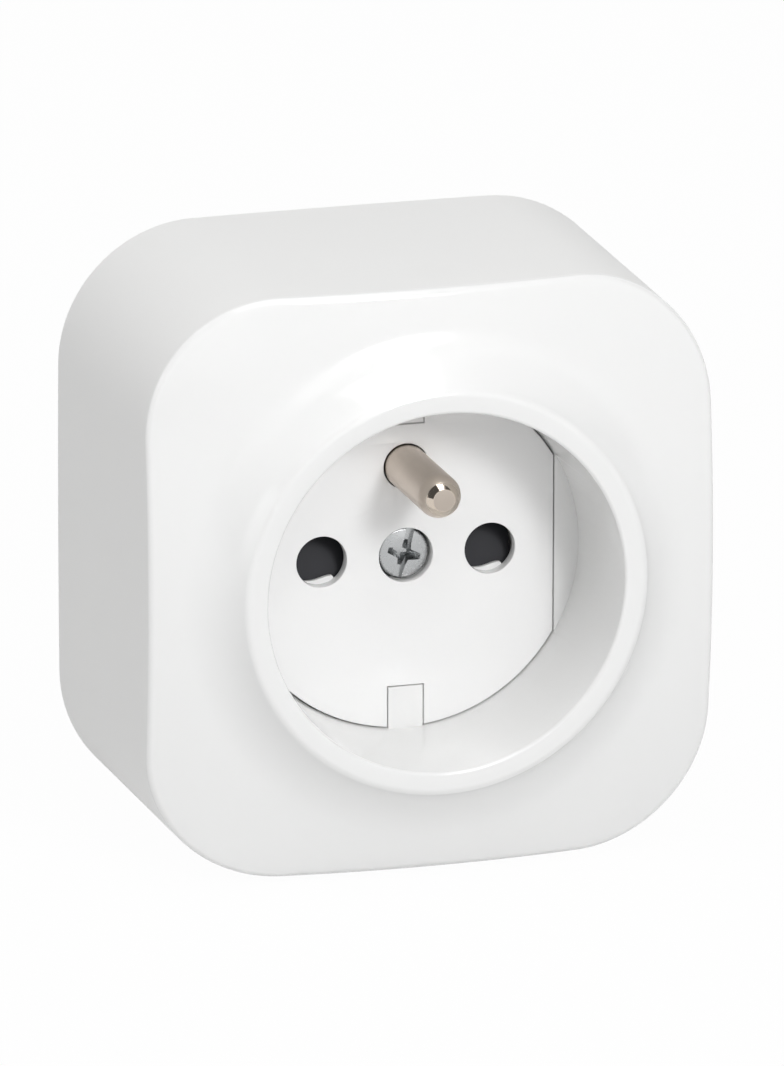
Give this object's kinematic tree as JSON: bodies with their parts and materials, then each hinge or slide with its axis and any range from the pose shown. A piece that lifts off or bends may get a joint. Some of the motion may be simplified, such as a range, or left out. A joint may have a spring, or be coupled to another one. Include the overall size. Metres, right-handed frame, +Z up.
{
  "type": "surface mounted socket",
  "caption": "Square surface mounted power socket with a round recessed well, two shuttered contact holes, a projecting earth pin and a central cover screw.",
  "frame": {"origin": "centre of the back face, in the plane of the wall", "axes": "+Z up, the front faces -Y, +X to the right as seen from the front"},
  "size_m": [0.0642, 0.0401, 0.0654],
  "materials": {
    "cover_plastic": "white, glossy front and well, fine matte texture on the sides",
    "insert_plastic": "white, satin gloss",
    "shutter_plastic": "black, satin",
    "base_plastic": "off-white, as moulded",
    "contact_brass": "bright pressed strip",
    "spring_steel": "bright wire and strip",
    "pin_nickel": "nickel plated, satin",
    "screw_zinc": "zinc plated"
  },
  "bodies": {
    "housing": {"cover": "cover_plastic", "insert": "insert_plastic", "shutter_spring": "spring_steel", "shutter_retainer": "base_plastic", "base": "base_plastic", "contact_carrier": "base_plastic", "line_contact": "contact_brass", "neutral_contact": "contact_brass", "line_jaw_clip": "spring_steel", "neutral_jaw_clip": "spring_steel", "earth_pin": "pin_nickel", "earth_strap": "contact_brass", "line_terminal": "contact_brass", "neutral_terminal": "contact_brass", "earth_terminal": "contact_brass", "line_terminal_screw": "screw_zinc", "neutral_terminal_screw": "screw_zinc", "earth_terminal_screw": "screw_zinc", "cover_screw": "screw_zinc", "cover_nut": "contact_brass", "carrier_screw_left": "screw_zinc", "carrier_screw_right": "screw_zinc"},
    "shutter": {"shutter": "shutter_plastic"}
  },
  "joints": [
    {"name": "shutter_slide", "type": "slide", "parent": "housing", "child": "shutter", "axis": [0, 0, -1], "range_m": [0, 0.0055], "stiffness_N_per_m": 80, "springref_m": -0.003, "deforming": ["shutter_spring"]}
  ]
}
